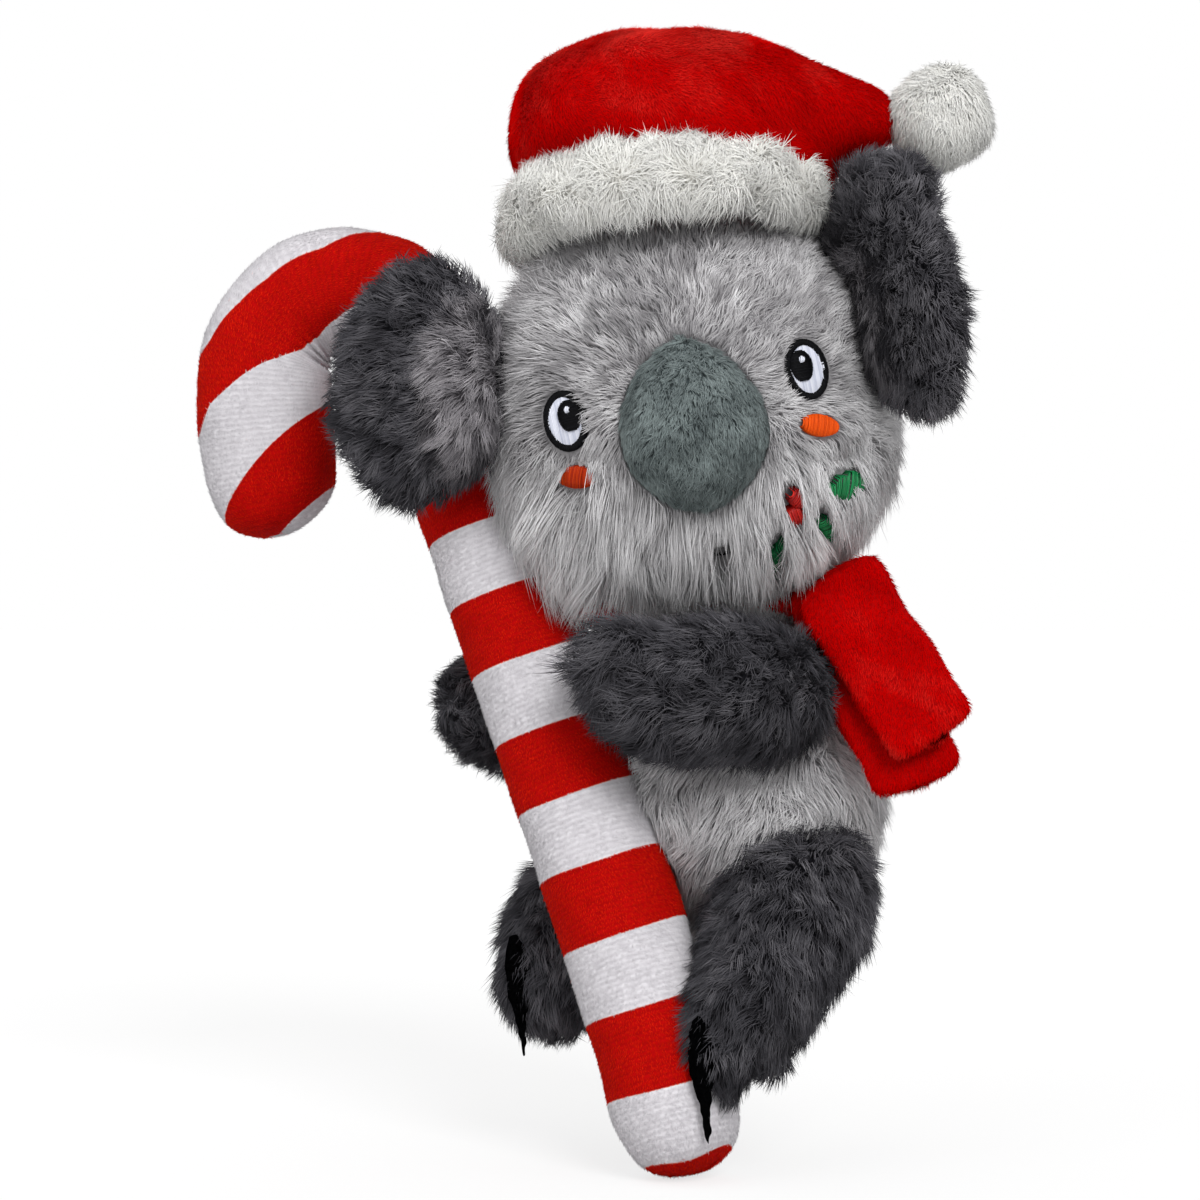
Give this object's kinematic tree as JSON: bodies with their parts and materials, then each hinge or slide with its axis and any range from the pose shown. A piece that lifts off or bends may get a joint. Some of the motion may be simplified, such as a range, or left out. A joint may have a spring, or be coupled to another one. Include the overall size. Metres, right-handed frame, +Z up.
{
  "type": "plush koala",
  "caption": "Plush koala in a red hat and scarf that hugs an upright striped cane, with embroidered eyes and holly.",
  "frame": {"origin": "under the middle of the whole toy's bounding box, at its lowest point, the cane's foot", "axes": "+Z up along the cane and the toy's height, -Y the way the face looks, +X the koala's own left"},
  "size_m": [0.2124, 0.1026, 0.2996],
  "materials": {
    "light_fur": "light grey long-pile plush, darker tips",
    "dark_fur": "charcoal long-pile plush",
    "ear_cloth": "grey-mauve short-pile plush",
    "nose_plush": "grey-green short-pile plush",
    "red_plush": "red short-pile plush",
    "white_plush": "off-white long-pile plush",
    "cane_cloth": "white short-nap cloth with broad red bands",
    "felt_black": "black felt",
    "thread_black": "black satin stitch",
    "thread_white": "white satin stitch",
    "thread_orange": "orange satin stitch",
    "thread_green": "green satin stitch",
    "thread_red": "red satin stitch"
  },
  "bodies": {
    "torso": {"torso": "light_fur", "candy_cane": "cane_cloth", "scarf_band": "red_plush"},
    "head": {"head": "light_fur", "nose": "nose_plush", "eye_left_ring": "thread_black", "eye_left_white": "thread_white", "eye_left_pupil": "thread_black", "eye_left_glint": "thread_white", "eye_right_ring": "thread_black", "eye_right_white": "thread_white", "eye_right_pupil": "thread_black", "eye_right_glint": "thread_white", "cheek_left": "thread_orange", "cheek_right": "thread_orange", "mouth_stitch": "thread_black", "holly_leaf_1": "thread_green", "holly_leaf_2": "thread_green", "holly_leaf_3": "thread_green", "holly_berry_1": "thread_red", "holly_berry_2": "thread_red", "hat_crown": "red_plush", "hat_cuff": "white_plush"},
    "ear_left": {"ear_left": "dark_fur", "ear_left_lining": "ear_cloth"},
    "ear_right": {"ear_right": "dark_fur", "ear_right_lining": "ear_cloth"},
    "pompom": {"pompom": "white_plush"},
    "arm_left": {"arm_left": "dark_fur"},
    "arm_right": {"arm_right": "dark_fur"},
    "leg_left": {"leg_left": "dark_fur", "claw_left": "felt_black"},
    "leg_right": {"leg_right": "dark_fur", "claw_right": "felt_black"},
    "scarf_lower": {"scarf_tail_lower": "red_plush"},
    "scarf_upper": {"scarf_tail_upper": "red_plush"}
  },
  "joints": [
    {"name": "head_turn", "type": "hinge", "parent": "torso", "child": "head", "pos_m": [0.03218, 0.01877, 0.15341], "axis": [0, 0, 1], "range_deg": [0, 15], "stiffness_Nm_per_rad": 0.3},
    {"name": "ear_right_fold", "type": "hinge", "parent": "head", "child": "ear_right", "pos_m": [-0.02006, -0.00923, 0.20367], "axis": [0, 0, 1], "range_deg": [0, 30], "stiffness_Nm_per_rad": 0.05},
    {"name": "ear_left_fold", "type": "hinge", "parent": "head", "child": "ear_left", "pos_m": [0.07494, -0.00023, 0.22867], "axis": [0, 0, 1], "range_deg": [0, 30], "stiffness_Nm_per_rad": 0.05},
    {"name": "pompom_swing", "type": "hinge", "parent": "head", "child": "pompom", "pos_m": [0.08583, 0.00293, 0.27228], "axis": [0, -1, 0], "range_deg": [0, 25], "stiffness_Nm_per_rad": 0.03},
    {"name": "arm_left_swing", "type": "hinge", "parent": "torso", "child": "arm_left", "pos_m": [0.05868, 0.00653, 0.12237], "axis": [0, 0, 1], "range_deg": [0, 25], "stiffness_Nm_per_rad": 0.1},
    {"name": "arm_right_swing", "type": "hinge", "parent": "torso", "child": "arm_right", "pos_m": [0.00748, 0.03305, 0.12043], "axis": [0, 0, -1], "range_deg": [0, 35], "stiffness_Nm_per_rad": 0.1},
    {"name": "leg_left_swing", "type": "hinge", "parent": "torso", "child": "leg_left", "pos_m": [0.06268, 0.00993, 0.07775], "axis": [0, -1, 0], "range_deg": [0, 30], "stiffness_Nm_per_rad": 0.15},
    {"name": "leg_right_swing", "type": "hinge", "parent": "torso", "child": "leg_right", "pos_m": [0.00748, 0.02625, 0.07484], "axis": [0, 1, 0], "range_deg": [0, 30], "stiffness_Nm_per_rad": 0.15},
    {"name": "scarf_lower_lift", "type": "hinge", "parent": "torso", "child": "scarf_lower", "pos_m": [0.06359, -0.00598, 0.15491], "axis": [-1, 0, 0], "range_deg": [0, 35]},
    {"name": "scarf_upper_lift", "type": "hinge", "parent": "scarf_lower", "child": "scarf_upper", "pos_m": [0.06359, -0.01328, 0.15491], "axis": [-1, 0, 0], "range_deg": [0, 35]}
  ]
}
